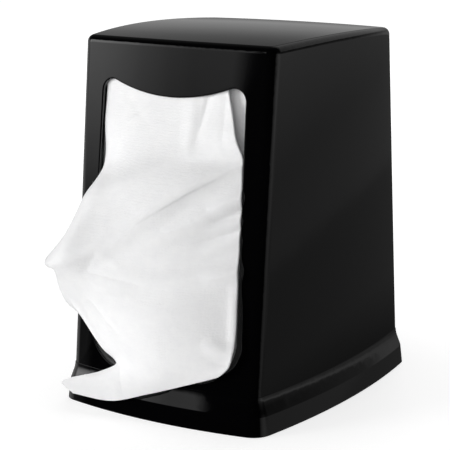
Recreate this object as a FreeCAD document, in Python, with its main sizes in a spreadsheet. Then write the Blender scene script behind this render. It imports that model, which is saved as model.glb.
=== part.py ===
"""Table-top napkin dispenser: a lift-off moulded cover over a base tray with two sprung napkin followers.

Units are millimetres. The origin is on the table under the middle of the base, +Z is up,
the front window faces -Y and the rear window faces +Y.
"""
import FreeCAD, Part
import math
import os
import re
import Sketcher
from FreeCAD import Placement, Rotation, Vector

SIZES = {
    # cover, outer form
    "half_width_seam": 45.4,  # at the vertical corners, where the skirt meets the body
    "half_width_top": 45.3,
    "half_depth_seam": 60.3,
    "half_depth_top": 48.2,
    "side_bow_seam": 5.1,  # how far the middle of a side stands out past its corners
    "side_bow_top": 4.75,
    "front_bow_seam": 4.95,
    "front_bow_top": 3.0,
    "corner_radius": 5.0,
    "seam_z": 15.7,
    "corner_z": 152.0,  # roof height at the four corners
    "loft_top_z": 162.0,
    "roof_reach": 90.0,  # half length of the roof cutter
    "roof_lid": 190.0,
    "roof_turn": 6.0,
    "roof_arch": 1.9,
    "roof_crown": 0.5,
    "roof_edge_radius": 3.0,
    # skirt: height of each section and how far it stands out from the body
    "rim_z": 0.4,
    "rim_out": 3.4,
    "shoulder_z": 8.2,
    "shoulder_out": 2.5,
    "bend_z": 9.8,
    "bend_out": 1.95,
    "cove_z": 12.4,
    "cove_out": 0.95,
    "joint_out": 0.25,
    # cover, inside
    "wall": 2.4,
    "roof_inner_z": 149.2,
    "rim_inner_out": 1.0,
    "rib_inner_x": 43.5,
    "rib_outer_x": 48.9,
    "rib_near_y": 2.2,
    "rib_thick": 2.0,
    "ledge_inner_x": 48.1,
    "ledge_outer_x": 51.6,
    "ledge_width": 16.0,
    "ledge_z": 2.8,
    "ledge_high": 2.0,
    # windows
    "window_half_low": 35.4,
    "window_half_high": 34.0,
    "window_low_z": 18.5,
    "window_dip_z": 130.2,
    "window_dip_radius": 78.0,
    "window_low_radius": 18.0,
    "window_ear_radius": 5.0,
    "window_edge_radius": 0.6,
    "window_cut": 200.0,
    "overlap": 0.5,  # how far fused shapes run into each other, and cutters past a face
    # base tray
    "tray_inset": 2.8,
    "tray_rim": 2.0,
    "tray_low_z": 1.6,
    "floor_low_z": 11.0,
    "floor_z": 13.0,
    "tray_corner": 1.2,
    # foot pads
    "pad_x": 32.0,
    "pad_y": 46.0,
    "pad_radius": 6.0,
    "pad_high": 2.2,
    "pad_boss_radius": 7.5,
    "pad_boss_z": 1.2,
    "pad_gap": 0.2,
    "pad_chamfer": 0.4,
    # follower guide grooves in the tray
    "groove_x": 14.0,
    "groove_half": 6.3,
    "groove_neck_half": 3.8,
    "groove_low_z": 9.6,
    "groove_neck_z": 11.4,
    "groove_far": 58.0,
    "groove_past": 24.0,
    "trough_half": 7.5,
    "trough_low_z": 8.4,
    "trough_wall": 1.2,
    # followers
    "wall_gap": 1.0,  # between the napkins and the inside of the wall at its corners
    "stack_thick": 22.0,
    "stack_width": 85.0,
    "stack_high": 122.0,
    "stack_edge_radius": 2.5,
    "stack_lift": 0.2,
    "plate_thick": 2.6,
    "plate_half": 40.0,
    "plate_low_z": 13.8,
    "plate_high": 116.0,
    "shoe_half": 6.0,
    "shoe_low_z": 9.8,
    "shoe_neck_half": 3.5,
    "shoe_neck_z": 11.2,
    "shoe_top_z": 12.8,
    "shoe_past": 8.0,
    "seat_y": 22.0,
    "seat_radius": 8.6,
    "spigot_radius": 5.6,
    "plate_spigot": 4.0,
    "spine_spigot": 3.0,
    "upper_spring_z": 104.0,
    "lower_spring_z": 44.0,
    "spring_radius": 6.7,
    "spring_wire": 0.45,
    "spring_turns": 6.0,
    "spring_gap": 0.1,
    "wire_sides": 12,
    # spine
    "spine_half": 46.5,
    "spine_thick": 2.8,
    "spine_top_z": 140.0,
    "flange_half": 38.0,
    "flange_depth": 16.5,
    "flange_high": 2.4,
    "screw_x": 30.0,
    "screw_y": 12.7,
    "screw_boss_radius": 3.4,
    "screw_boss_high": 8.0,
    "screw_radius": 1.3,
    "screw_long": 7.0,
    "screw_head_radius": 3.0,
    "screw_head_high": 1.7,
    "screw_hole_radius": 1.6,
    "recess_half": 0.35,
    "recess_share": 0.6,  # of the head's radius
    # latch
    "latch_low_z": 5.2,
    "latch_high": 3.0,
    "latch_inner_x": 14.0,
    "latch_outer_x": 45.3,
    "latch_half": 7.0,
    "nose_x": 49.4,
    "nose_half": 5.0,
    "nose_gap": 0.4,
    "tab_inner_x": 31.0,
    "tab_long": 8.0,
    "tab_low_z": 1.8,
    "tab_half": 4.0,
    "latch_gap": 0.2,
    "latch_travel": 2.5,
    "rail_thick": 2.0,
    "rail_half": 44.0,
    "rail_gap": 0.3,
    "slot_gap": 0.4,
    "block_half": 3.0,
    "latch_spring_radius": 1.2,
    "latch_spring_wire": 0.2,
    "latch_spring_turns": 9.0,
    "latch_spigot_radius": 0.8,
    "latch_spigot": 3.0,
    "keeper_thick": 1.2,
    "keeper_screw_y": 7.0,
    "keeper_screw_radius": 1.1,
    "keeper_screw_long": 5.0,
    "keeper_head_radius": 2.2,
    "keeper_head_high": 1.2,
    # drawn napkin
    "napkin_thick": 1.2,
}

doc = FreeCAD.newDocument("napkin_dispenser")
sheet = doc.addObject("Spreadsheet::Sheet", "Sheet")
for row, (alias, value) in enumerate(SIZES.items(), 1):
    sheet.set(f"A{row}", alias)
    sheet.set(f"B{row}", str(value))
    sheet.setAlias(f"B{row}", alias)
doc.recompute()


def cells(text):
    """An expression with the sheet's name in front of each of its aliases."""
    return re.sub(r"[a-z][a-z_]*[a-z]", lambda m: f"Sheet.{m[0]}" if m[0] in SIZES else m[0], str(text))


def number(text):
    """The value that an expression has now."""
    return float(sheet.evalExpression(cells(text)))


def bind(thing, **values):
    for name, text in values.items():
        thing.setExpression(name, cells(text))


def place(thing, x=0, y=0, z=0):
    for axis, text in zip("xyz", (x, y, z)):
        thing.setExpression(f".Placement.Base.{axis}", cells(text))


def box(name, x, y, z):
    """A block from three (low, high) pairs of expressions."""
    thing = doc.addObject("Part::Box", name)
    spans = [f"({high}) - ({low})" for low, high in (x, y, z)]
    bind(thing, Length=spans[0], Width=spans[1], Height=spans[2])
    place(thing, x[0], y[0], z[0])
    return thing


def cylinder(name, radius, long, x=0, y=0, z=0, turn=None):
    """A round bar that starts at a point and runs along +Z, or along the turned +Z."""
    thing = doc.addObject("Part::Cylinder", name)
    if turn:
        thing.Placement = Placement(Vector(), turn)
    bind(thing, Radius=radius, Height=long)
    place(thing, x, y, z)
    return thing


def fused(name, shapes):
    thing = doc.addObject("Part::MultiFuse", name)
    thing.Shapes = shapes
    return thing


def cut(name, base, tools):
    thing = doc.addObject("Part::Cut", name)
    thing.Base = base
    thing.Tool = tools[0] if len(tools) == 1 else fused(f"{name}_tools", tools)
    return thing


def named(thing, label, turn=0):
    """A finished sub-part, turned about the vertical axis where it is the other one of a pair."""
    thing.Label = label
    thing.Placement = Placement(Vector(), Rotation(Vector(0, 0, 1), turn))
    parts.append(thing)


parts = []
ALONG_Y = Rotation(Vector(1, 0, 0), -90)
ALONG_X = Rotation(Vector(0, 1, 0), 90)
LEAN = "((half_depth_seam - half_depth_top) / (corner_z - seam_z))"


def origin_plane(body, role):
    return next(f for f in body.Origin.OriginFeatures if f.Role == role)


def new_sketch(body, name, role, height=None):
    sketch = body.newObject("Sketcher::SketchObject", name)
    sketch.AttachmentSupport = [(origin_plane(body, role), "")]
    sketch.MapMode = "FlatFace"
    if height is not None:
        sketch.setExpression(".AttachmentOffset.Base.z", cells(height))
    return sketch


def datum(sketch, name, kind, *where, value):
    """A named dimension bound to the sheet."""
    sketch.addConstraint(Sketcher.Constraint(kind, *where, number(value)))
    last = len(sketch.Constraints) - 1
    sketch.renameConstraint(last, name)
    sketch.setExpression(f"Constraints.{name}", cells(value))


def at_height(stem, height):
    """A size of the cover at some height, on the straight line between the seam and the top."""
    share = f"(({height}) - seam_z) / (corner_z - seam_z)"
    return f"({stem}_seam + ({stem}_top - {stem}_seam) * ({share}))"


def outline(body, name, height, out, sized_at=None, corner=None):
    """A horizontal section of the cover: four bowed sides and four tangent corner arcs.

    `out` moves it outwards, and `sized_at` takes the sizes from another height.
    """
    level = sized_at or height
    half_w, half_d = at_height("half_width", level), at_height("half_depth", level)
    side_bow, front_bow = at_height("side_bow", level), at_height("front_bow", level)
    front_radius = f"(({half_w})^2 + ({front_bow})^2) / (2 * {front_bow})"
    side_radius = f"(({half_d})^2 + ({side_bow})^2) / (2 * {side_bow})"
    front_centre = f"{front_radius} - {half_d} - {front_bow}"
    side_centre = f"{side_radius} - {half_w} - {side_bow}"
    corner = corner or f"corner_radius + ({out})"
    big_f, big_s = number(f"{front_radius} + ({out})"), number(f"{side_radius} + ({out})")
    away_f, away_s, small = number(front_centre), number(side_centre), number(corner)
    # the corner arc's centre in the quarter with +X and -Y, where two circles cross
    span = math.hypot(away_f, away_s)
    near = ((big_f - small) ** 2 - (big_s - small) ** 2 + span ** 2) / (2 * span)
    rise = math.sqrt((big_f - small) ** 2 - near ** 2)
    along = Vector(-away_s, -away_f, 0) / span
    corner_at = Vector(0, away_f, 0) + along * near + Vector(-along.y, along.x, 0) * rise
    to_front = corner_at - Vector(0, away_f, 0)
    to_side = corner_at - Vector(-away_s, 0, 0)
    front_angle = math.atan2(to_front.x, -to_front.y)  # from -Y
    side_angle = math.atan2(-to_side.y, to_side.x)  # from +X
    sketch = new_sketch(body, name, "XY_Plane", height)

    def arc(centre, radius, start, end):
        circle = Part.Circle(Vector(*centre, 0), Vector(0, 0, 1), radius)
        return sketch.addGeometry(Part.ArcOfCircle(circle, start, end), False)

    quarter = math.pi / 2
    sides = [
        arc((0, away_f), big_f, -quarter - front_angle, -quarter + front_angle),
        arc((-away_s, 0), big_s, -side_angle, side_angle),
        arc((0, -away_f), big_f, quarter - front_angle, quarter + front_angle),
        arc((away_s, 0), big_s, math.pi - side_angle, math.pi + side_angle),
    ]
    corners = []
    for x, y, middle in ((1, 1, -quarter), (1, -1, 0), (-1, -1, quarter), (-1, 1, 2 * quarter)):
        first, last = (front_angle, side_angle) if x * y > 0 else (side_angle, front_angle)
        centre = (x * corner_at.x, y * corner_at.y)
        corners.append(arc(centre, small, middle + first, middle + quarter - last))
    for k in range(4):
        sketch.addConstraint(Sketcher.Constraint("Tangent", sides[k], 2, corners[k], 1))
        sketch.addConstraint(Sketcher.Constraint("Tangent", corners[k], 2, sides[(k + 1) % 4], 1))
        sketch.addConstraint(Sketcher.Constraint("PointOnObject", sides[k], 3, -2 if k % 2 == 0 else -1))
        radius = front_radius if k % 2 == 0 else side_radius
        datum(sketch, f"side_{k}", "Radius", sides[k], value=f"{radius} + ({out})")
        datum(sketch, f"corner_{k}", "Radius", corners[k], value=corner)
    datum(sketch, "front_away", "DistanceY", -1, 1, sides[0], 3, value=front_centre)
    datum(sketch, "rear_away", "DistanceY", sides[2], 3, -1, 1, value=front_centre)
    datum(sketch, "right_away", "DistanceX", sides[1], 3, -1, 1, value=side_centre)
    datum(sketch, "left_away", "DistanceX", -1, 1, sides[3], 3, value=side_centre)
    return sketch


def loft(body, name, kind, sections, ruled=True):
    thing = body.newObject(f"PartDesign::{kind}Loft", name)
    thing.Profile = sections[0]
    thing.Sections = sections[1:]
    thing.Ruled = ruled
    return thing


def roof_groove(body):
    """Trims the top to a roof arched from front to back and slightly crowned from side to side."""
    sketch = new_sketch(body, "roof_section", "YZ_Plane")
    arch_radius = "(half_depth_top^2 + roof_arch^2) / (2 * roof_arch)"
    crown_radius = "(half_width_top^2 + roof_crown^2) / (2 * roof_crown)"
    apex = "corner_z + roof_arch + roof_crown"
    radius, top = number(arch_radius), number(apex)
    reach, lid = number("roof_reach"), number("roof_lid")
    drop = radius - math.sqrt(radius ** 2 - reach ** 2)
    half_angle = math.asin(reach / radius)
    circle = Part.Circle(Vector(0, top - radius, 0), Vector(0, 0, 1), radius)
    ring = sketch.addGeometry(
        Part.ArcOfCircle(circle, math.pi / 2 - half_angle, math.pi / 2 + half_angle), False
    )
    left, right = Vector(-reach, top - drop, 0), Vector(reach, top - drop, 0)
    high_left, high_right = Vector(-reach, lid, 0), Vector(reach, lid, 0)
    lines = [
        sketch.addGeometry(Part.LineSegment(a, b), False)
        for a, b in ((left, high_left), (high_left, high_right), (high_right, right))
    ]
    for a, b in ((ring, lines[0]), (lines[0], lines[1]), (lines[1], lines[2]), (lines[2], ring)):
        sketch.addConstraint(Sketcher.Constraint("Coincident", a, 2, b, 1))
    sketch.addConstraint(Sketcher.Constraint("Vertical", lines[0]))
    sketch.addConstraint(Sketcher.Constraint("Vertical", lines[2]))
    sketch.addConstraint(Sketcher.Constraint("Horizontal", lines[1]))
    sketch.addConstraint(Sketcher.Constraint("PointOnObject", ring, 3, -2))
    sketch.addConstraint(Sketcher.Constraint("Symmetric", ring, 1, ring, 2, -2))
    datum(sketch, "arch", "Radius", ring, value=arch_radius)
    datum(sketch, "apex", "DistanceY", ring, 3, -1, 1, value=f"{arch_radius} - ({apex})")
    datum(sketch, "reach", "DistanceX", lines[0], 1, lines[2], 2, value="2 * roof_reach")
    datum(sketch, "lid", "DistanceY", -1, 1, lines[1], 1, value="roof_lid")
    deep = f"{crown_radius} - ({apex})"
    axis = sketch.addGeometry(
        Part.LineSegment(Vector(-reach, -number(deep), 0), Vector(reach, -number(deep), 0)), True
    )
    sketch.addConstraint(Sketcher.Constraint("Horizontal", axis))
    datum(sketch, "deep", "DistanceY", axis, 1, -1, 1, value=deep)
    datum(sketch, "axis_left", "DistanceX", axis, 1, -1, 1, value="roof_reach")
    datum(sketch, "axis_long", "DistanceX", axis, 1, axis, 2, value="2 * roof_reach")
    groove = body.newObject("PartDesign::Groove", "roof")
    groove.Profile = sketch
    groove.ReferenceAxis = (sketch, ["Axis0"])
    groove.Midplane = True
    bind(groove, Angle="roof_turn")
    return groove


def window_sketch(body):
    """Straight sides, large lower corners, and a top edge that dips between two small ears."""
    sketch = new_sketch(body, "window", "XZ_Plane")
    low, high, sill = number("window_half_low"), number("window_half_high"), number("window_low_z")
    corner, ear = number("window_low_radius"), number("window_ear_radius")
    big = number("window_dip_radius")
    centre_z = number("window_dip_z") + big
    ear_z = centre_z - math.sqrt((big + ear) ** 2 - (high - ear) ** 2)
    tilt = math.atan2(high - ear, centre_z - ear_z)
    quarter = math.pi / 2

    def arc(x, z, radius, start, end):
        circle = Part.Circle(Vector(x, z, 0), Vector(0, 0, 1), radius)
        return sketch.addGeometry(Part.ArcOfCircle(circle, start, end), False)

    def line(start, end):
        return sketch.addGeometry(Part.LineSegment(Vector(*start, 0), Vector(*end, 0)), False)

    bottom = line((corner - low, sill), (low - corner, sill))
    low_right = arc(low - corner, sill + corner, corner, -quarter, 0)
    right = line((low, sill + corner), (high, ear_z))
    ear_right = arc(high - ear, ear_z, ear, 0, quarter + tilt)
    dip = arc(0, centre_z, big, -quarter - tilt, tilt - quarter)
    ear_left = arc(ear - high, ear_z, ear, quarter - tilt, 2 * quarter)
    left = line((-high, ear_z), (-low, sill + corner))
    low_left = arc(corner - low, sill + corner, corner, -2 * quarter, -quarter)
    joints = ((bottom, 2, low_right, 1), (low_right, 2, right, 1), (right, 2, ear_right, 1),
              (ear_right, 2, dip, 2), (dip, 1, ear_left, 1), (ear_left, 2, left, 1),
              (left, 2, low_left, 1), (low_left, 2, bottom, 1))
    for joint in joints:
        sketch.addConstraint(Sketcher.Constraint("Tangent", *joint))
    sketch.addConstraint(Sketcher.Constraint("Horizontal", bottom))
    sketch.addConstraint(Sketcher.Constraint("PointOnObject", dip, 3, -2))
    for name, edge, radius in (("low_right", low_right, "window_low_radius"),
                               ("low_left", low_left, "window_low_radius"),
                               ("ear_right", ear_right, "window_ear_radius"),
                               ("ear_left", ear_left, "window_ear_radius"),
                               ("dip", dip, "window_dip_radius")):
        datum(sketch, name, "Radius", edge, value=radius)
    datum(sketch, "sill", "DistanceY", -1, 1, bottom, 1, value="window_low_z")
    datum(sketch, "dip_centre", "DistanceY", -1, 1, dip, 3, value="window_dip_z + window_dip_radius")
    datum(sketch, "right_low", "DistanceX", -1, 1, right, 1, value="window_half_low")
    datum(sketch, "right_high", "DistanceX", -1, 1, right, 2, value="window_half_high")
    datum(sketch, "left_low", "DistanceX", left, 2, -1, 1, value="window_half_low")
    datum(sketch, "left_high", "DistanceX", left, 1, -1, 1, value="window_half_high")
    return sketch


def edges_where(shape, test):
    return [f"Edge{k}" for k, edge in enumerate(shape.Edges, 1) if test(edge)]


def on_window_rim(edge):
    """True for the edges that a window makes with the outside of the front or rear wall."""
    if edge.BoundBox.ZMin < number("window_low_z - 1"):
        return False
    if max(-edge.BoundBox.XMin, edge.BoundBox.XMax) > number("window_half_low + 1"):
        return False
    middle = edge.valueAt(sum(edge.ParameterRange) / 2)
    corner, bow = number(at_height("half_depth", middle.z)), number(at_height("front_bow", middle.z))
    outside = corner + bow * (1 - (middle.x / number("half_width_top")) ** 2)
    return abs(middle.y) > outside - number("wall") / 4


def make_cover():
    body = doc.addObject("PartDesign::Body", "cover_form")
    levels = ("rim", "shoulder", "bend", "cove")
    skirt = [outline(body, f"skirt_{k}", f"{k}_z", f"{k}_out", "seam_z") for k in levels]
    skirt.append(outline(body, "skirt_joint", "seam_z", "joint_out"))
    loft(body, "skirt_foot", "Additive", skirt[:2])
    loft(body, "skirt_cove", "Additive", skirt[1:], ruled=False)
    loft(body, "walls", "Additive",
         [outline(body, "walls_seam", "seam_z", "0"), outline(body, "walls_top", "loft_top_z", "0")])
    doc.recompute()
    groove = roof_groove(body)
    doc.recompute()
    edge = body.newObject("PartDesign::Fillet", "roof_edge")
    high = number("corner_z - roof_edge_radius / 2")
    edge.Base = (groove, edges_where(groove.Shape, lambda e: min(v.Z for v in e.Vertexes) > high))
    bind(edge, Radius="roof_edge_radius")
    doc.recompute()
    loft(body, "room", "Subtractive",
         [outline(body, "room_low", "seam_z", "-wall"), outline(body, "room_high", "roof_inner_z", "-wall")])
    loft(body, "skirt_room", "Subtractive",
         [outline(body, "skirt_room_high", "seam_z", "-wall"),
          outline(body, "skirt_room_low", "rim_z", "rim_inner_out", "seam_z")])
    pocket = body.newObject("PartDesign::Pocket", "windows")
    pocket.Profile = window_sketch(body)
    pocket.Midplane = True
    bind(pocket, Length="window_cut")
    doc.recompute()
    rim = body.newObject("PartDesign::Fillet", "window_edge")
    rim.Base = (pocket, edges_where(pocket.Shape, on_window_rim))
    bind(rim, Radius="window_edge_radius")
    doc.recompute()
    ribs = [
        box(f"rib_{k}", x, y, ("floor_z", "roof_inner_z + overlap"))
        for k, (x, y) in enumerate(
            (x, y)
            for x in (("rib_inner_x", "rib_outer_x"), ("-rib_outer_x", "-rib_inner_x"))
            for y in (("rib_near_y", "rib_near_y + rib_thick"), ("-rib_near_y - rib_thick", "-rib_near_y"))
        )
    ]
    ledges = [
        box(f"ledge_{k}", x, ("-ledge_width / 2", "ledge_width / 2"), ("ledge_z", "ledge_z + ledge_high"))
        for k, x in enumerate((("ledge_inner_x", "ledge_outer_x"), ("-ledge_outer_x", "-ledge_inner_x")))
    ]
    named(fused("cover", [body, *ribs, *ledges]), "cover_shell")


def sides():
    """The right and the left, and the front and the rear: +1 and -1."""
    return (1, -1)


def span(side, low, high):
    """A (low, high) pair on one side of the middle."""
    return (low, high) if side > 0 else (f"-({high})", f"-({low})")


def make_tray():
    pan = doc.addObject("PartDesign::Body", "tray_pan")
    pad = pan.newObject("PartDesign::Pad", "tray_block")
    pad.Profile = outline(pan, "tray_outline", "tray_low_z", "-tray_inset", "seam_z")
    bind(pad, Length="floor_z - tray_low_z")
    doc.recompute()
    hollow = pan.newObject("PartDesign::Pocket", "tray_hollow")
    hollow.Profile = outline(pan, "tray_inner", "tray_low_z", "-tray_inset - tray_rim", "seam_z",
                             "tray_corner")
    bind(hollow, Length="floor_low_z - tray_low_z")
    hollow.Reversed = True
    doc.recompute()
    added, taken = [pan], []
    for x in sides():
        for y in sides():
            where = {"x": f"{x} * pad_x", "y": f"{y} * pad_y"}
            added.append(cylinder("pad_boss", "pad_boss_radius", "floor_low_z + overlap - pad_boss_z",
                                  z="pad_boss_z", **where))
            taken.append(cylinder("pad_seat", "pad_radius + pad_gap", "pad_high - pad_boss_z",
                                  z="pad_boss_z", **where))
            taken.append(cylinder("spine_hole", "screw_hole_radius", "floor_z", x=f"{x} * screw_x",
                                  y=f"{y} * screw_y", z="floor_low_z - overlap"))
    for side in sides():
        middle = f"{side} * groove_x"
        far = ("-groove_far", "groove_past") if side > 0 else ("-groove_past", "groove_far")
        added.append(box("trough", (f"{middle} - trough_half", f"{middle} + trough_half"),
                         (f"{far[0]} - trough_wall", f"{far[1]} + trough_wall"),
                         ("trough_low_z", "floor_low_z + overlap")))
        taken.append(box("groove", (f"{middle} - groove_half", f"{middle} + groove_half"), far,
                         ("groove_low_z", "groove_neck_z")))
        taken.append(box("groove_neck", (f"{middle} - groove_neck_half", f"{middle} + groove_neck_half"), far,
                         ("groove_neck_z - overlap", "floor_z + overlap")))
        added.append(box("rail", ("-rail_half", "rail_half"),
                         span(side, "latch_half + rail_gap", "latch_half + rail_gap + rail_thick"),
                         ("latch_low_z - latch_gap", "floor_low_z + overlap")))
        taken.append(box("nose_slot", span(side, "latch_outer_x - overlap", "nose_x"),
                         ("-nose_half - nose_gap", "nose_half + nose_gap"),
                         ("latch_low_z - latch_gap", "latch_low_z + latch_high + latch_gap")))
    added.append(box("latch_block", ("-block_half", "block_half"),
                     ("-latch_half - rail_gap - rail_thick", "latch_half + rail_gap + rail_thick"),
                     ("latch_low_z - latch_gap", "floor_low_z + overlap")))
    for y in sides():
        taken.append(cylinder("keeper_pilot", "keeper_screw_radius", "keeper_screw_long",
                              y=f"{y} * keeper_screw_y", z="latch_low_z - latch_gap - overlap"))
    named(cut("tray", fused("tray_solid", added), taken), "base_tray")


def make_pads():
    chamfer = number("pad_chamfer")
    for x, across in ((1, "right"), (-1, "left")):
        for y, along in ((-1, "front"), (1, "rear")):
            disc = cylinder("pad_disc", "pad_radius", "pad_high", f"{x} * pad_x", f"{y} * pad_y")
            pad = doc.addObject("Part::Chamfer", "foot_pad")
            pad.Base = disc
            doc.recompute()
            pad.Edges = [(k, chamfer, chamfer) for k, e in enumerate(disc.Shape.Edges, 1)
                         if e.BoundBox.ZMax < chamfer]
            named(pad, f"foot_{along}_{across}")


def leaning(name, x, back, thick, low, high):
    """An upright slab whose front and back lean with the front wall, on a level underside."""
    plane = doc.addObject("Part::Plane", f"{name}_section")
    bind(plane, Length=f"({x[1]}) - ({x[0]})", Width=thick)
    front = f"-(half_depth_seam - wall - wall_gap) + {LEAN} * ({low} - seam_z)"
    place(plane, x[0], f"{front} + ({back})", low)
    slab = doc.addObject("Part::Extrusion", name)
    slab.Base = plane
    slab.DirMode = "Custom"
    slab.Dir = Vector(0, 0, 1)
    slab.setExpression("Dir.y", cells(f"{LEAN}"))
    slab.Solid = True
    bind(slab, LengthFwd=f"({high}) * sqrt(1 + {LEAN}^2)")
    return slab


def make_stack(label, turn):
    block = leaning(f"{label}_block", ("-stack_width / 2", "stack_width / 2"), "0", "stack_thick",
                    "floor_z + stack_lift", "stack_high")
    doc.recompute()
    front = block.Shape.BoundBox.YMin
    stack = doc.addObject("Part::Fillet", "stack")
    stack.Base = block

    def at_front(edge):
        low = min(edge.Vertexes, key=lambda v: v.Z)
        return edge.BoundBox.ZLength > 10 and low.Y < front + 1

    radius = number("stack_edge_radius")
    stack.Edges = [(k, radius, radius) for k, e in enumerate(block.Shape.Edges, 1) if at_front(e)]
    named(stack, label, turn)


def make_follower(label, turn):
    """A leaning plate with two spring seats and a T-shaped shoe that runs in the tray's groove."""
    plate = leaning(f"{label}_plate", ("-plate_half", "plate_half"), "stack_thick", "plate_thick",
                    "plate_low_z", "plate_high")
    pieces = [plate]
    for height in ("upper_spring_z", "lower_spring_z"):
        face = (f"-(half_depth_seam - wall - wall_gap) + stack_thick + {LEAN} * ({height} - seam_z)"
                " + plate_thick / 2")
        pieces.append(cylinder("spring_seat", "seat_radius", f"-seat_y - ({face})", y=face, z=height,
                               turn=ALONG_Y))
        pieces.append(cylinder("spring_spigot", "spigot_radius", "plate_spigot", y="-seat_y", z=height,
                               turn=ALONG_Y))
    start = "-(half_depth_seam - wall - wall_gap) + stack_thick"
    middle = "groove_x"
    pieces.append(box("shoe", (f"{middle} - shoe_half", f"{middle} + shoe_half"), (start, "shoe_past"),
                      ("shoe_low_z", "shoe_neck_z")))
    pieces.append(box("shoe_neck", (f"{middle} - shoe_neck_half", f"{middle} + shoe_neck_half"),
                      (start, "shoe_past"), ("shoe_neck_z - overlap", "shoe_top_z")))
    pieces.append(box("shoe_root", (f"{middle} - shoe_neck_half", f"{middle} + shoe_neck_half"),
                      (start, f"{start} + plate_thick"), ("shoe_top_z - overlap", "plate_low_z + overlap")))
    named(fused("follower", pieces), label, turn)


def make_spring(label, radius, wire, turns, long, placement):
    """A coil spring along its own +Z, then placed."""
    helix = doc.addObject("Part::Helix", f"{label}_line")
    bind(helix, Radius=radius, Pitch=f"(({long}) - 2 * {wire}) / {turns}", Height=f"({long}) - 2 * {wire}")
    helix.SegmentLength = 1
    section = doc.addObject("Part::RegularPolygon", f"{label}_section")
    bind(section, Circumradius=wire, Polygon="wire_sides")
    section.Placement = Placement(Vector(), Rotation(Vector(1, 0, 0), 90))
    place(section, x=radius)
    sweep = doc.addObject("Part::Sweep", f"{label}_coil")
    sweep.Sections = [section]
    doc.recompute()
    sweep.Spine = (helix, [f"Edge{k}" for k in range(1, len(helix.Shape.Edges) + 1)])
    sweep.Solid = True
    sweep.Frenet = True
    sweep.Placement = placement
    sweep.Label = label
    parts.append(sweep)


def make_springs():
    long = "seat_y - spine_thick / 2 - 2 * spring_gap"
    start = number("seat_y") - number("spring_gap") - number("spring_wire")
    for front, turn in ((True, ALONG_Y), (False, ALONG_Y.inverted())):
        for height in ("upper", "lower"):
            label = f"{'front' if front else 'rear'}_{height}_spring"
            at = Vector(0, -start if front else start, number(f"{height}_spring_z"))
            make_spring(label, "spring_radius", "spring_wire", "spring_turns", long, Placement(at, turn))
    long = "latch_inner_x - block_half - 2 * spring_gap"
    start = number("latch_inner_x") - number("spring_gap") - number("latch_spring_wire")
    height = number("latch_low_z") + number("latch_high") / 2
    for side, name, turn in ((1, "right", ALONG_X.inverted()), (-1, "left", ALONG_X)):
        make_spring(f"latch_spring_{name}", "latch_spring_radius", "latch_spring_wire", "latch_spring_turns",
                    long, Placement(Vector(side * start, 0, height), turn))


def make_spine():
    board = box("spine_board", ("-spine_half", "spine_half"), ("-spine_thick / 2", "spine_thick / 2"),
                ("floor_z", "spine_top_z"))
    flange = box("spine_flange", ("-flange_half", "flange_half"), ("-flange_depth", "flange_depth"),
                 ("floor_z", "floor_z + flange_high"))
    pieces, holes = [board, flange], []
    for height in ("upper_spring_z", "lower_spring_z"):
        pieces.append(cylinder("spine_spigot_bar", "spigot_radius", "spine_thick + 2 * spine_spigot",
                               y="-spine_thick / 2 - spine_spigot", z=height, turn=ALONG_Y))
    for x in sides():
        for y in sides():
            where = {"x": f"{x} * screw_x", "y": f"{y} * screw_y", "z": "floor_z"}
            pieces.append(cylinder("screw_boss", "screw_boss_radius", "screw_boss_high", **where))
            holes.append(cylinder("screw_pilot", "screw_radius", "screw_long - overlap", **where))
    named(cut("spine", fused("spine_solid", pieces), holes), "spine_plate")


def make_screws(label, places, radius, long, head_radius, head_high, under):
    """Pan-head screws driven upwards, each with a cross recess in its head."""
    screws = []
    arm = f"{head_radius} * recess_share"
    for x, y in places:
        head = cylinder("screw_head", head_radius, head_high, x, y, f"{under} - {head_high}")
        shank = cylinder("screw_shank", radius, long, x, y, under)
        recess = [
            box("recess", (f"{x} - {a}", f"{x} + {a}"), (f"{y} - {b}", f"{y} + {b}"),
                (f"{under} - {head_high} - overlap", f"{under} - {head_high} / 2"))
            for a, b in ((arm, "recess_half"), ("recess_half", arm))
        ]
        screws.append(cut("screw", fused("screw_solid", [head, shank]), recess))
    group = doc.addObject("Part::Compound", f"{label}_group")
    group.Links = screws
    named(group, label)


def make_latches():
    top = "latch_low_z + latch_high"
    for label, turn in (("latch_slider_right", 0), ("latch_slider_left", 180)):
        pieces = [
            box("latch_bar", ("latch_inner_x", "latch_outer_x"), ("-latch_half", "latch_half"),
                ("latch_low_z", top)),
            box("latch_nose", ("latch_outer_x - overlap", "nose_x"), ("-nose_half", "nose_half"),
                ("latch_low_z", top)),
            box("latch_tab", ("tab_inner_x", "tab_inner_x + tab_long"), ("-tab_half", "tab_half"),
                ("tab_low_z", "latch_low_z + overlap")),
            cylinder("latch_spigot", "latch_spigot_radius", "latch_spigot + overlap",
                     "latch_inner_x - latch_spigot", 0, "latch_low_z + latch_high / 2", ALONG_X),
        ]
        named(fused("latch", pieces), label, turn)
    low = "latch_low_z - latch_gap"
    half = "latch_half + rail_gap + rail_thick"
    plate = box("keeper_plate", ("-rail_half", "rail_half"), (f"-({half})", half),
                (f"{low} - keeper_thick", low))
    holes = [
        box("tab_slot", span(x, "tab_inner_x - latch_travel - slot_gap", "tab_inner_x + tab_long + slot_gap"),
            ("-tab_half - slot_gap", "tab_half + slot_gap"),
            (f"{low} - keeper_thick - overlap", f"{low} + overlap"))
        for x in sides()
    ]
    holes += [
        cylinder("keeper_hole", "keeper_screw_radius + latch_gap", "keeper_thick + 2 * overlap", 0,
                 f"{y} * keeper_screw_y", f"{low} - keeper_thick - overlap")
        for y in sides()
    ]
    named(cut("keeper", plate, holes), "latch_keeper")


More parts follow.
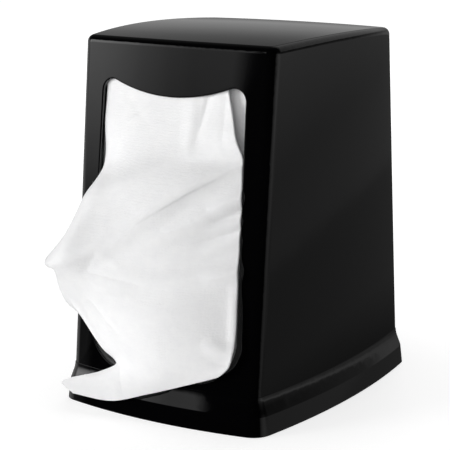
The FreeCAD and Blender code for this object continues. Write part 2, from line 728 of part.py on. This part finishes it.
def make_drawn_napkin():
    """The sheet that hangs out of the front window: a thin slab through upright bent sections.

    Each section is (height, left end, middle, right end) with the ends as (x, y).
    """
    sections = (
        (130.0, (-29.0, -49.3), (0.0, -50.0), (29.0, -49.3)),
        (112.0, (-32.0, -53.5), (0.0, -57.0), (32.5, -52.0)),
        (90.0, (-33.0, -66.0), (0.0, -66.0), (33.0, -54.0)),
        (63.0, (-41.0, -83.0), (0.0, -70.0), (33.5, -57.0)),
        (40.0, (-31.0, -77.0), (0.0, -71.0), (32.0, -60.5)),
        (22.0, (-21.0, -70.5), (0.0, -71.0), (24.0, -66.0)),
        (14.0, (-36.0, -72.5), (-8.0, -71.5), (8.0, -70.5)),
        (5.0, (-38.0, -73.0), (-30.0, -73.0), (-22.0, -72.5)),
    )
    thick = number("napkin_thick")
    wires = []
    for z, left, middle, right in sections:
        front = [Vector(x, y, z) for x, y in (left, middle, right)]
        back = [point + Vector(0, thick, 0) for point in reversed(front)]
        wires.append(Part.makePolygon(front + back + front[:1]))
    sheet_solid = doc.addObject("Part::Feature", "napkin")
    sheet_solid.Shape = Part.makeLoft(wires, True, True)
    named(sheet_solid, "drawn_napkin")


make_cover()
make_tray()
make_pads()
make_spine()
make_screws("spine_screws", [(f"{x} * screw_x", f"{y} * screw_y") for x in sides() for y in sides()],
            "screw_radius", "screw_long", "screw_head_radius", "screw_head_high", "floor_low_z")
make_latches()
make_screws("keeper_screws", [("0", f"{y} * keeper_screw_y") for y in sides()], "keeper_screw_radius",
            "keeper_screw_long", "keeper_head_radius", "keeper_head_high",
            "(latch_low_z - latch_gap - keeper_thick)")
for facing, half_turn in (("front", 0), ("rear", 180)):
    make_stack(f"{facing}_napkin_stack", half_turn)
    make_follower(f"{facing}_follower", half_turn)
make_springs()
make_drawn_napkin()
doc.recompute()

failed = [thing.Name for thing in doc.Objects if {"Invalid", "Error"} & set(thing.State)]
failed += [part.Label for part in parts if part.Shape.isNull() or not part.Shape.isValid()]
if failed:
    raise SystemExit(f"failed: {failed}")
os.makedirs("parts", exist_ok=True)
for part in parts:
    part.Shape.exportStep(f"parts/{part.Label}.step")
    print(part.Label, len(part.Shape.Solids), round(part.Shape.Volume, 1))
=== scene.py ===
"""Napkin dispenser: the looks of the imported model, its sheets, springs, lights and camera. Metres."""
import math

import bpy
import numpy as np
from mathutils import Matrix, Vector


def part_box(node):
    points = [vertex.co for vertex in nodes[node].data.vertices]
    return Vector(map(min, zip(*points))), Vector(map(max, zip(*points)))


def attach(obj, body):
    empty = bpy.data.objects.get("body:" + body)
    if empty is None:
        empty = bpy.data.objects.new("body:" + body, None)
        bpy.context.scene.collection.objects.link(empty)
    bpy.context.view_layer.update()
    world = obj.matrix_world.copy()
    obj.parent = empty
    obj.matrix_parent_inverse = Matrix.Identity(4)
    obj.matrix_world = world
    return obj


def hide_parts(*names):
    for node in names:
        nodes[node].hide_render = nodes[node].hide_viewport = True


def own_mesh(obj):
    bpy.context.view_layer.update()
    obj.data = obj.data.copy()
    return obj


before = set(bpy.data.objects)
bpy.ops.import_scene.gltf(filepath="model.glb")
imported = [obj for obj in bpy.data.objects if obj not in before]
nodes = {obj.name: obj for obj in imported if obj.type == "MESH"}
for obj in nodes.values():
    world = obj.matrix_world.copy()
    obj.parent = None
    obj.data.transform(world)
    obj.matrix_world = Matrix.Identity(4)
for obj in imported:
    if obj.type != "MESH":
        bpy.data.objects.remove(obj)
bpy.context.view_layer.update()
random = np.random.default_rng(7)
MM = 0.001
MIDDLE = (0, 0, 0.08)
NAPKIN_WIDTH = 85.0


# ---------------------------------------------------------------- materials


def shader(name, **values):
    """A material and its Principled shader, with the values set on the shader's own sockets."""
    made = bpy.data.materials.new(name)
    made.use_nodes = True
    surface = made.node_tree.nodes["Principled BSDF"]
    for socket, value in values.items():
        surface.inputs[socket.replace("_", " ")].default_value = value
    return made, surface


def add(material, kind, inputs=(), **settings):
    """A node; inputs pairs each socket with a value, or with the output that feeds it."""
    tree = material.node_tree
    node = tree.nodes.new(f"ShaderNode{kind}")
    for key, value in settings.items():
        setattr(node, key, value)
    for socket, value in dict(inputs).items():
        if isinstance(value, bpy.types.NodeSocket):
            tree.links.new(value, node.inputs[socket])
        else:
            node.inputs[socket].default_value = value
    return node


def place_in(material):
    return add(material, "TexCoord").outputs["Object"]


def noise(material, scale, detail=3.0, roughness=0.55, where=None, distortion=0.0):
    values = {"Vector": where or place_in(material), "Scale": scale, "Detail": detail,
              "Roughness": roughness, "Distortion": distortion}
    return add(material, "TexNoise", values).outputs["Fac"]


def stretched(material, scale, turn=(0, 0, 0)):
    values = {"Vector": place_in(material), "Scale": scale, "Rotation": turn}
    return add(material, "Mapping", values).outputs[0]


def between(material, value, low, high, start=0.0, end=1.0):
    return add(material, "MapRange", {"Value": value, "From Min": start, "From Max": end,
                                      "To Min": low, "To Max": high}).outputs[0]


def ramp(material, value, *stops):
    """A colour ramp through (position, grey or colour) stops."""
    node = add(material, "ValToRGB", {"Fac": value})
    marks = node.color_ramp.elements
    while len(marks) < len(stops):
        marks.new(0.5)
    for mark, (where, colour) in zip(marks, stops):
        mark.position = where
        mark.color = (*colour, 1) if hasattr(colour, "__len__") else (colour, colour, colour, 1)
    return node.outputs["Color"]


def bump(material, height, distance, strength=1.0, under=None):
    values = {"Height": height, "Distance": distance, "Strength": strength}
    if under is not None:
        values["Normal"] = under
    return add(material, "Bump", values).outputs["Normal"]


def link(material, output, socket):
    material.node_tree.links.new(output, socket)


def gloss_plastic(name):
    """Polished black moulding: faint flow ripple, hairline handling marks, a little dust in the sheen."""
    made, surface = shader(name, Base_Color=(0.001, 0.001, 0.0012, 1), IOR=1.6)
    marks = noise(made, 1.0, 2.0, where=stretched(made, (2600, 90, 90), (0, 0, 0.5)))
    smears = noise(made, 28, 4.0)
    rough = add(made, "Math", {0: between(made, smears, 0.035, 0.085, 0.3, 0.8),
                               1: between(made, marks, 0.0, 0.05, 0.68, 0.9)}, operation="ADD").outputs[0]
    link(made, rough, surface.inputs["Roughness"])
    ripple = bump(made, noise(made, 60, 1.0), 0.00003, 0.5)
    link(made, bump(made, noise(made, 900, 2.0), 0.000003, 0.5, ripple), surface.inputs["Normal"])
    return made


def grained_plastic(name, colour, rough, grain):
    """Spark-eroded moulding: fine grain, with slightly polished and dusty patches."""
    made, surface = shader(name, IOR=1.5)
    patches = noise(made, 45, 4.0)
    dark, light = [c * 0.8 for c in colour], [c * 1.25 for c in colour]
    link(made, ramp(made, patches, (0.3, dark), (0.75, light)), surface.inputs["Base Color"])
    link(made, between(made, patches, rough - 0.08, rough + 0.1, 0.3, 0.7), surface.inputs["Roughness"])
    link(made, bump(made, noise(made, grain, 2.0), 0.00004, 0.6), surface.inputs["Normal"])
    return made


def steel(name, colour, rough, lines):
    """Drawn or turned steel: fine lines one way and small dull spots."""
    made, surface = shader(name, Metallic=1.0)
    streaks = noise(made, 1.0, 3.0, where=stretched(made, lines))
    dark = [c * 0.72 for c in colour]
    link(made, ramp(made, streaks, (0.25, dark), (0.75, colour)), surface.inputs["Base Color"])
    link(made, between(made, streaks, rough - 0.08, rough + 0.14, 0.2, 0.8), surface.inputs["Roughness"])
    link(made, bump(made, streaks, 0.00001, 0.4), surface.inputs["Normal"])
    return made


def rubber(name):
    made, surface = shader(name, IOR=1.5, Sheen_Weight=0.25)
    wear = noise(made, 160, 4.0)
    link(made, ramp(made, wear, (0.3, 0.012), (0.8, 0.035)), surface.inputs["Base Color"])
    link(made, between(made, wear, 0.6, 0.9, 0.3, 0.7), surface.inputs["Roughness"])
    link(made, bump(made, noise(made, 2500, 2.0), 0.00003, 0.8), surface.inputs["Normal"])
    return made


def tissue(name):
    """Single-ply napkin paper: crepe ridges across the sheet, a cloudy fibre pattern and pin embossing."""
    made, surface = shader(name, IOR=1.4, Roughness=0.95, Specular_IOR_Level=0.15, Sheen_Weight=0.15,
                           Subsurface_Weight=0.35, Subsurface_Radius=(0.004, 0.004, 0.004),
                           Subsurface_Scale=1.0)
    cloud = noise(made, 220, 5.0, 0.65)
    white = ramp(made, cloud, (0.25, (0.85, 0.85, 0.86)), (0.8, (0.90, 0.90, 0.90)))
    link(made, white, surface.inputs["Base Color"])
    crepe = noise(made, 1.0, 3.0, 0.6, where=stretched(made, (420, 420, 2300)), distortion=0.4)
    fibres = noise(made, 1500, 3.0, 0.7)
    cells = {"Vector": place_in(made), "Scale": 820, "Randomness": 0.4}
    pins = add(made, "TexVoronoi", cells).outputs["Distance"]
    low = bump(made, crepe, 0.00012, 0.8)
    low = bump(made, fibres, 0.00005, 0.6, low)
    link(made, bump(made, pins, 0.00012, 0.5, low), surface.inputs["Normal"])
    return made


looks = {
    "cover_black": gloss_plastic("gloss_black"),
    "inner_black": grained_plastic("grained_black", (0.018, 0.018, 0.019), 0.42, 1800),
    "latch_grey": grained_plastic("grained_grey", (0.17, 0.175, 0.18), 0.48, 1600),
    "spring_steel": steel("spring_wire", (0.62, 0.62, 0.60), 0.28, (900, 900, 900)),
    "screw_steel": steel("screw_zinc", (0.66, 0.66, 0.68), 0.3, (2200, 2200, 300)),
    "foot_rubber": rubber("foot_rubber"),
    "napkin_paper": tissue("tissue"),
}
slot_of = {
    "cover_shell": "cover_black", "base_tray": "inner_black", "spine_plate": "inner_black",
    "front_follower": "inner_black", "rear_follower": "inner_black", "latch_keeper": "inner_black",
    "latch_slider_left": "latch_grey", "latch_slider_right": "latch_grey",
    "spine_screws": "screw_steel", "keeper_screws": "screw_steel",
}
for name, node in nodes.items():
    slot = slot_of.get(name) or ("foot_rubber" if name.startswith("foot") else
                                 "spring_steel" if "spring" in name else "napkin_paper")
    node.data.materials.clear()
    node.data.materials.append(looks[slot])


# ---------------------------------------------------------------- camera, floor and light


def make_camera():
    lens = bpy.data.cameras.new("camera")
    lens.lens, lens.sensor_width = 129.234, 36.0
    camera = bpy.data.objects.new("camera", lens)
    camera.location = (0.36125, -0.57411, 0.21814)
    camera.rotation_euler = (math.pi / 2 - 0.216656, 0, 0.57206)
    bpy.context.collection.objects.link(camera)
    bpy.context.scene.camera = camera


def make_floor():
    half = 12.0
    mesh = bpy.data.meshes.new("floor")
    corners = [(-half, -half, 0), (half, -half, 0), (half, half, 0), (-half, half, 0)]
    mesh.from_pydata(corners, [], [(0, 1, 2, 3)])
    floor = bpy.data.objects.new("floor", mesh)
    bpy.context.collection.objects.link(floor)
    made, surface = shader("floor", Base_Color=(0.4, 0.4, 0.4, 1), Roughness=0.9, Specular_IOR_Level=0.0,
                           Emission_Color=(1, 1, 1, 1))
    # The floor's glow drops to 0.74 within 5 to 22 cm of the middle: a painted shadow around the object's
    # foot.
    away = add(made, "VectorMath", {0: place_in(made)}, operation="LENGTH").outputs["Value"]
    link(made, between(made, away, 0.74, 1.0, 0.05, 0.22), surface.inputs["Emission Strength"])
    mesh.materials.append(made)
    floor.visible_glossy = floor.visible_diffuse = False


def soft_box(name, azimuth, elevation, distance, size, radiance):
    """A rectangular light, aimed at the middle of the object, that shows in no reflection.

    Azimuth 0 is in front of the object (-Y) and 90 on its right (+X).
    """
    a, e = math.radians(azimuth), math.radians(elevation)
    away = Vector((math.sin(a) * math.cos(e), -math.cos(a) * math.cos(e), math.sin(e)))
    data = bpy.data.lights.new(name, "AREA")
    data.shape, (data.size, data.size_y) = "RECTANGLE", size
    data.energy = radiance * math.pi * size[0] * size[1]
    light = bpy.data.objects.new(name, data)
    light.location = Vector(MIDDLE) + away * distance
    light.rotation_euler = away.to_track_quat("Z", "Y").to_euler()
    light.visible_glossy = False
    light.visible_camera = False
    bpy.context.collection.objects.link(light)


def make_world():
    """White to the camera, and to everything else a dim studio.

    The studio is brightest low down behind the object. A large soft light stands low at the front left
    and fades towards the middle, a faint one stands at each side, and another lights the roof's right
    edge from behind. What the floor would throw back comes from below, and shows in no reflection.
    """
    world = bpy.data.worlds.new("studio")
    world.use_nodes = True
    bpy.context.scene.world = world
    tree = world.node_tree

    def math_node(operation, *values):
        return add(world, "Math", dict(enumerate(values)), operation=operation).outputs[0]

    direction = add(world, "SeparateXYZ", {0: add(world, "TexCoord").outputs["Generated"]})
    x, y, z = (direction.outputs[axis] for axis in "XYZ")
    tilted = math_node("MULTIPLY_ADD", math_node("MAXIMUM", x, 0.0), 0.1, z)
    height = ramp(world, between(world, tilted, 0, 1, -1, 1),
                  (0.0, 0.02), (0.365, 0.025), (0.39, 0.1), (0.421, 0.105), (0.427, 0.15), (0.455, 0.15),
                  (0.49, 0.27), (0.52, 0.5), (0.56, 0.42), (0.6, 0.24), (0.66, 0.07), (1.0, 0.05))
    behind = math_node("MULTIPLY", height, between(world, y, 0.01, 0.82, -0.35, 0.3))
    behind = math_node("MULTIPLY", behind, between(world, x, 0.9, 1.35, 0.2, 0.75))
    roof_edge = math_node("MULTIPLY", between(world, x, 0, 0.32, -0.43, -0.33),
                          between(world, y, 0, 1, 0.4, 0.7))
    roof_edge = math_node("MULTIPLY", roof_edge, between(world, z, 0, 1, 0.2, 0.3))
    right_and_up = math_node("MULTIPLY", between(world, x, 0, 0.75, 0, 0.4),
                             between(world, z, 0, 1, -0.08, 0.03))
    behind = math_node("MULTIPLY", behind, math_node("SUBTRACT", 1.0, right_and_up))
    azimuth = math_node("ARCTAN2", x, math_node("MULTIPLY", y, -1.0))
    across = ramp(world, between(world, azimuth, 0, 1, math.radians(-75), math.radians(-15)),
                  (0.0, 0.0), (0.2, 0.58), (0.40, 0.48), (0.5, 0.34), (0.58, 0.22), (0.67, 0.14),
                  (0.75, 0.11), (0.88, 0.12), (0.93, 0.0))
    upward = ramp(world, between(world, z, 0, 1, -0.09, 0.51), (0.0, 0.0), (0.35, 1.0), (0.8, 1.0), (1.0, 0.0))
    left_box = math_node("MULTIPLY", math_node("MULTIPLY", across, upward), 4.3)
    sides = math_node("ADD", between(world, x, 0, 0.15, 0.92, 0.985),
                      between(world, x, 0.5, 0, -0.97, -0.8))
    level = ramp(world, between(world, z, 0, 1, -0.5, 0.5), (0.0, 0.0), (0.25, 1.0), (0.6, 0.8), (0.9, 0.0))
    beside = math_node("MULTIPLY", sides, level)
    path = add(world, "LightPath")
    bounce = math_node("MULTIPLY", between(world, z, 0.62, 0, -0.1, 0.1),
                       math_node("SUBTRACT", 1.0, path.outputs["Is Glossy Ray"]))
    light = math_node("ADD", math_node("ADD", behind, left_box), math_node("ADD", roof_edge, bounce))
    light = math_node("ADD", light, beside)
    studio = add(world, "Background", {"Color": (1, 1, 1, 1), "Strength": light}).outputs[0]
    white = add(world, "Background", {"Color": (1, 1, 1, 1)}).outputs[0]
    mixed = add(world, "MixShader", {0: path.outputs["Is Camera Ray"], 1: studio, 2: white}).outputs[0]
    tree.links.new(mixed, tree.nodes["World Output"].inputs["Surface"])


def make_lights():
    soft_box("key", -34, 8, 1.3, (0.4, 0.4), 18.4)
    soft_box("fill", 15, 14, 1.4, (1.2, 0.9), 2.5)
    soft_box("rear", 190, 35, 1.4, (1.0, 0.8), 3.4)
    bpy.context.scene.view_settings.view_transform = "Standard"


# ---------------------------------------------------------------- paper


def spline(points, count):
    """Smooth points through rows or columns of control points (Catmull-Rom), evenly spread over them."""
    points = np.asarray(points, float)
    padded = np.concatenate([2 * points[:1] - points[1:2], points, 2 * points[-1:] - points[-2:-1]])
    t = np.linspace(0, len(points) - 1, count)
    k = np.minimum(t.astype(int), len(points) - 2)
    f = (t - k).reshape(-1, *[1] * (points.ndim - 1))
    a, b, c, d = (padded[k + i] for i in range(4))
    return b + 0.5 * f * (c - a + f * (2 * a - 5 * b + 4 * c - d + f * (3 * (b - c) + d - a)))


def grid_mesh(name, grid, closed=False):
    """A quad mesh over a (rows, columns, 3) array of points in metres, with smooth shading."""
    rows, columns = grid.shape[:2]
    corner = np.arange(rows * columns).reshape(rows, columns)
    if closed:
        corner = np.concatenate([corner, corner[:, :1]], axis=1)
    faces = np.stack([corner[:-1, :-1], corner[1:, :-1], corner[1:, 1:], corner[:-1, 1:]], axis=-1)
    mesh = bpy.data.meshes.new(name)
    mesh.from_pydata(grid.reshape(-1, 3).tolist(), [], faces.reshape(-1, 4).tolist())
    mesh.shade_smooth()
    made = bpy.data.objects.new(name, mesh)
    bpy.context.collection.objects.link(made)
    return made


def normals_of(grid):
    down, across = np.gradient(grid, axis=0), np.gradient(grid, axis=1)
    normal = np.cross(across, down)
    return normal / np.maximum(np.linalg.norm(normal, axis=2, keepdims=True), 1e-12)


# Drawn napkin: rows run along its folds from the left edge to the right edge, in millimetres
DRAWN = (
    ((-31.0, -28.0, 141.5), (-17, -28, 142), (-2, -28, 142), (12, -28, 142), (21.0, -28.0, 141.5)),
    ((-31.8, -37.0, 146.5), (-17, -37, 147), (-2, -37, 147), (12, -37, 147), (21.6, -37.0, 146.5)),
    ((-32.4, -45.0, 146), (-17, -45.4, 146.5), (-1, -45.4, 146.5), (13, -45.4, 146.5), (22.4, -45.0, 146)),
    ((-33.0, -48.0, 141), (-17, -48.6, 141), (0, -48.8, 141), (14, -48.6, 141), (23.0, -48.2, 141)),
    ((-33.4, -48.9, 130), (-17, -49.8, 130), (1, -50.4, 130), (15, -50.6, 129), (27.0, -50.4, 129)),
    ((-33.6, -50.4, 118), (-17, -52.6, 118), (1, -53.6, 118), (17, -53.8, 118), (30.8, -53.2, 118)),
    ((-32.8, -52.5, 100.5), (-17, -56.4, 104), (1, -56.0, 108), (18, -53.4, 111), (32.8, -52.4, 112)),
    ((-36.7, -62.5, 88.1), (-18, -64.0, 90.5), (-4, -60.0, 99), (12, -55.6, 104.5), (33.6, -52.8, 108.5)),
    ((-38.2, -72.5, 74.8), (-17.6, -71.0, 80.5), (-1, -67.0, 92), (15, -61.0, 100.5), (33.9, -53.4, 107)),
    ((-42.6, -81.0, 63.8), (-18.5, -77.0, 72.0), (2, -71.5, 86), (18, -64.5, 96.5), (34.1, -54.2, 105)),
    ((-38.6, -80.0, 60.4), (-19, -75.0, 65.0), (-1, -69.4, 76.5), (14.5, -62.6, 86.5), (34.6, -55.0, 92)),
    ((-38.2, -77.5, 53.0), (-17, -75.2, 61.0), (1.5, -70.6, 70), (17, -65.4, 77), (35.0, -57.0, 82)),
    ((-35.9, -75.8, 46.6), (-15.5, -73.0, 52.5), (5, -68.0, 57), (19, -63.4, 62.5), (35.2, -58.2, 67)),
    ((-31.2, -73.5, 41.0), (-15, -74.5, 44.5), (3, -73.5, 48), (19, -69.0, 51), (35.8, -60.4, 54)),
    ((-25.0, -71.0, 31.0), (-11, -73.5, 33), (6, -74.0, 35.5), (22, -69.8, 38), (36.3, -62.0, 41)),
    ((-16.0, -69.0, 22.8), (-4, -71.2, 24), (9, -72.0, 26), (24, -69.0, 29), (35.8, -63.8, 31)),
    ((-23.0, -71.6, 18.0), (-8.5, -71.2, 18), (6, -70.8, 20), (21, -68.6, 24.4), (34.4, -65.0, 27)),
    ((-38.5, -76.0, 13.0), (-20, -72.2, 12.8), (1, -70.4, 15.5), (18.5, -68.0, 21), (32.4, -65.4, 25)),
    ((-34.2, -74.8, 8), (-17, -71.8, 7.0), (0, -69.6, 12.4), (18, -67.4, 19), (30.8, -65.6, 23.6)),
)

# Creases and soft folds on it: x and z of both ends, width, and how far they stand out, in millimetres
CREASES = (
    ((44, 111), (-34, 61), 6.0, 2.8),
    ((44, 120), (-40, 84), 6.4, -2.5),
    ((46, 98), (-26, 63.5), 4.4, -1.0),
    ((44, 86), (-36, 57), 5.0, 1.5),
    ((46, 67.5), (-30, 51), 4.0, -1.6),
    ((20, 61), (52, 69), 3.4, -1.3),
    ((-33, 104), (-42, 60), 2.4, 1.1),
    ((-26, 98), (-36, 62), 4.5, -1.4),
    ((9.4, 150), (10.6, 104), 3.4, -0.8),
    ((15.8, 150), (13.6, 116), 0.9, -0.2),
    ((20.5, 150), (12.0, 107), 2.0, 0.7),
    ((23.0, 150), (26.5, 108), 1.6, 0.3),
    ((-27, 133), (-8, 116), 1.8, 0.15),
    ((-6, 128), (-24, 116), 1.2, -0.2),
    ((21, 88), (50, 101), 2.4, -1.3),
    ((22, 83), (50, 95), 1.8, 1.1),
    ((21, 80.5), (50, 89), 1.6, -0.9),
    ((17, 74), (52, 88), 1.4, 0.9),
    ((20, 71.5), (50, 82), 1.8, -0.7),
    ((-18, 72.5), (-28, 58), 1.8, 0.3),
    ((-24, 70.5), (-8, 62), 1.8, -0.3),
    ((-30, 61), (2, 57), 1.0, 0.4),
    ((-26, 56), (-2, 52), 1.4, -0.4),
    ((-30, 53), (-8, 34), 1.6, 0.35),
    ((24, 38), (45, 28.5), 3.2, -1.2),
    ((22, 33), (44, 24), 1.6, 0.2),
    ((34.6, 62), (36.4, 28), 1.8, -0.8),
    ((-14.6, 28), (-10.6, 6), 0.9, 0.15),
    ((-18, 26), (-14, 4), 1.8, -0.15),
    ((-36, 50), (-20, 22), 1.2, 0.9),
    ((-33, 50), (-17, 23), 1.4, -0.5),
)


def crease(x, z, start, end, width):
    """1 along the middle of a crease in the XZ plane, fading to 0 at its sides and towards its ends."""
    start, end = np.array(start) * MM, np.array(end) * MM
    run = end - start
    along = ((x - start[0]) * run[0] + (z - start[1]) * run[1]) / (run @ run)
    aside = np.hypot(x - start[0] - along * run[0], z - start[1] - along * run[1])
    taper = np.clip(4 * along * (1 - along), 0, 1)
    return np.exp(-((aside / (width * MM)) ** 2)) * taper * taper * (3 - 2 * taper)


def make_drawn_napkin():
    """A napkin folded once: two layers joined along the right edge."""
    rows, columns, softening_passes = 340, 180, 90
    layer_gap, fold_radius = 0.7, 0.4 * MM
    free_below, free_in_front_of, fade = 136 * MM, -46 * MM, 4 * MM
    net = np.array(DRAWN) * MM
    front = spline(spline(net, rows).transpose(1, 0, 2), columns).transpose(1, 0, 2)
    soften = np.clip(4 * np.linspace(0, 1, columns) - 0.2, 0, 1)[:, None]
    for _ in range(softening_passes):
        front[1:-1] += soften * (front[:-2] - 2 * front[1:-1] + front[2:]) / 4
    normal = normals_of(front)
    shown = np.clip((free_below - front[..., 2]) / fade, 0, 1) * (front[..., 1] < free_in_front_of)
    lift = np.zeros((rows, columns))
    for start, end, width, depth in CREASES:
        lift += depth * MM * crease(front[..., 0], front[..., 2], start, end, width)
    front = front + normal * (lift * shown)[..., None]
    normal = normals_of(front)
    down, across = np.meshgrid(np.linspace(0, 1, rows), np.linspace(0, 1, columns), indexing="ij")
    gap = (layer_gap + 0.25 * np.sin(9 * down + 3 * across) * np.sin(5 * across)) * MM
    back = front - normal * gap[..., None]
    out = front[:, -1:] - front[:, -2:-1]
    out /= np.linalg.norm(out, axis=2, keepdims=True)
    fold = (front[:, -1:] + back[:, -1:]) / 2 + out * fold_radius
    made = grid_mesh("napkin_drawn", np.concatenate([front, fold, back[:, ::-1]], axis=1))
    made.data.materials.append(looks["napkin_paper"])
    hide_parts("drawn_napkin")
    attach(made, "cover")


def folded_sheet(width, thick, layer, open_side):
    """Section of a sheet folded once, as a closed outline in x and thickness; open_side is -1 or 1."""
    turn = np.linspace(-math.pi / 2, math.pi / 2, 7)
    outer, inner = thick / 2, thick / 2 - layer
    along = np.linspace(-width / 2, width / 2 - outer, 15)
    centre = width / 2 - outer
    outside = [(x, -outer) for x in along[:-1]]
    outside += [(centre + outer * math.cos(a), outer * math.sin(a)) for a in turn]
    outside += [(x, outer) for x in along[-2::-1]]
    inside = [(x, inner) for x in along[:-1]]
    inside += [(centre + inner * math.cos(a), -inner * math.sin(a)) for a in turn]
    inside += [(x, -inner) for x in along[-2::-1]]
    return np.array(outside + inside) * (-open_side, 1)


def free_leaf():
    """Section of the loose half of the outermost napkin, its edge curling out of the window."""
    half_layer, curl = 0.1, 2.2
    x = np.linspace(-41.5, 9.0, 25)
    t = 0.35 - curl * np.clip((x + 5) / 14, 0, 1) ** 2.5
    return np.concatenate([np.stack([x, t - half_layer], 1), np.stack([x, t + half_layer], 1)[::-1]])


def make_stack(name, node, body, turned):
    """Interleaved napkins, each folded once, leaning with the window; the outer ones bow into it."""
    thick, count, rows = 22.0, 24, 17
    bulge, bulge_depth, ripple = 1.3, 5, 0.1
    low, high = np.array(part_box(node)) / MM
    lean = (high[1] - low[1] - thick) / (high[2] - low[2])
    reach = max(abs(low[1]), abs(high[1]))
    pitch = thick / count
    vertices, faces = [], []
    for k in range(-1, count):
        trim, shift, drop, phase = random.uniform((0.05, -0.12, 0.0, 0), (0.5, 0.12, 1.5, 6.28))
        if k < 0:
            outline = free_leaf()
        else:
            outline = folded_sheet(NAPKIN_WIDTH - trim, pitch * 0.88, pitch * 0.3, 1 if k % 2 else -1)
        height = np.linspace(low[2] + 0.3, high[2] - drop, rows)
        x = np.tile(outline[:, 0] + shift, (rows, 1))
        z = np.tile(height[:, None], (1, len(outline)))
        share = (z - low[2]) / (high[2] - low[2])
        z -= (share > 0.95) * 0.3 * (1 + np.sin(x / 9 + phase))
        bow = np.cos(np.clip(x / 34, -1, 1) * math.pi / 2) * np.sin(np.clip(share * 1.05, 0, 1) * math.pi)
        wave = ripple * np.sin(x / 13 + phase) * np.sin(z / 17 + 2 * phase)
        t = (k + 0.5) * pitch + outline[:, 1] + wave - bulge * math.exp(-max(k, 0) / bulge_depth) * bow
        y = t - reach + (z - low[2]) * lean
        grid = np.stack([x, y, z], axis=-1)
        if turned:
            grid[..., :2] *= -1
        first = len(vertices)
        vertices += (grid.reshape(-1, 3) * MM).tolist()
        corner = first + np.arange(grid.shape[0] * grid.shape[1]).reshape(grid.shape[:2])
        around = np.concatenate([corner, corner[:, :1]], axis=1)
        walls = np.stack([around[:-1, :-1], around[:-1, 1:], around[1:, 1:], around[1:, :-1]], axis=-1)
        faces += walls.reshape(-1, 4).tolist()
        half = len(outline) // 2
        for row, flip in ((corner[0], False), (corner[-1], True)):
            outer, inner = row[:half], row[half:][::-1]
            caps = np.stack([outer[:-1], inner[:-1], inner[1:], outer[1:]], axis=-1)
            faces += (caps[:, ::-1] if flip else caps).tolist()
    mesh = bpy.data.meshes.new(name)
    mesh.from_pydata(vertices, [], faces)
    mesh.shade_smooth()
    mesh.set_sharp_from_angle(angle=math.radians(40))
    made = bpy.data.objects.new(name, mesh)
    bpy.context.collection.objects.link(made)
    mesh.materials.append(looks["napkin_paper"])
    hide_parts(node)
    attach(made, body)


# ---------------------------------------------------------------- springs


def make_spring(node, axis, wire, turns):
    """A compression spring with closed ends, in the box of its CAD node."""
    steps_per_turn, wire_sides = 36, 10
    low, high = np.array(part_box(node))
    sides = [a for a in range(3) if a != axis]
    middle = (low + high) / 2
    radius = (high - low)[sides[0]] / 2 - wire
    sign = 1 if middle[axis] > 0 else -1
    root, tip = (low[axis], high[axis]) if sign > 0 else (high[axis], low[axis])
    length = abs(tip - root)
    turn = np.linspace(0, turns, turns * steps_per_turn + 1)
    end_pitch = 2.2 * wire
    place = np.interp(turn, (0, 1, turns - 1, turns),
                      (wire, wire + end_pitch, length - wire - end_pitch, length - wire))
    angle = 2 * math.pi * turn
    spine = np.zeros((len(turn), 3))
    spine[:, axis] = root + sign * place
    spine[:, sides[0]] = middle[sides[0]] + radius * np.cos(angle)
    spine[:, sides[1]] = middle[sides[1]] + radius * np.sin(angle)
    tangent = np.gradient(spine, axis=0)
    tangent /= np.linalg.norm(tangent, axis=1, keepdims=True)
    outward = np.zeros_like(spine)
    outward[:, sides[0]], outward[:, sides[1]] = np.cos(angle), np.sin(angle)
    across = np.cross(tangent, outward)
    ring = np.linspace(0, 2 * math.pi, wire_sides, endpoint=False)[:, None]
    grid = spine[:, None] + wire * (outward[:, None] * np.cos(ring) + across[:, None] * np.sin(ring))
    caps = [np.tile(end[:, None], (1, wire_sides, 1)) for end in (spine[:1], spine[-1:])]
    grid = np.concatenate([caps[0], grid, caps[1]])
    made = grid_mesh(f"wire_{node}", grid, closed=True)
    made.data.materials.append(looks["spring_steel"])
    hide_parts(node)
    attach(made, "base")
    anchor = middle.copy()
    anchor[axis] = root
    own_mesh(made)


make_drawn_napkin()
make_stack("napkins_front", "front_napkin_stack", "front_follower", False)
make_stack("napkins_rear", "rear_napkin_stack", "rear_follower", True)
for facing in ("front", "rear"):
    for level in ("upper", "lower"):
        make_spring(f"{facing}_{level}_spring", 1, 0.45 * MM, 6)
for side in ("right", "left"):
    make_spring(f"latch_spring_{side}", 0, 0.2 * MM, 9)
make_camera()
make_floor()
make_world()
make_lights()
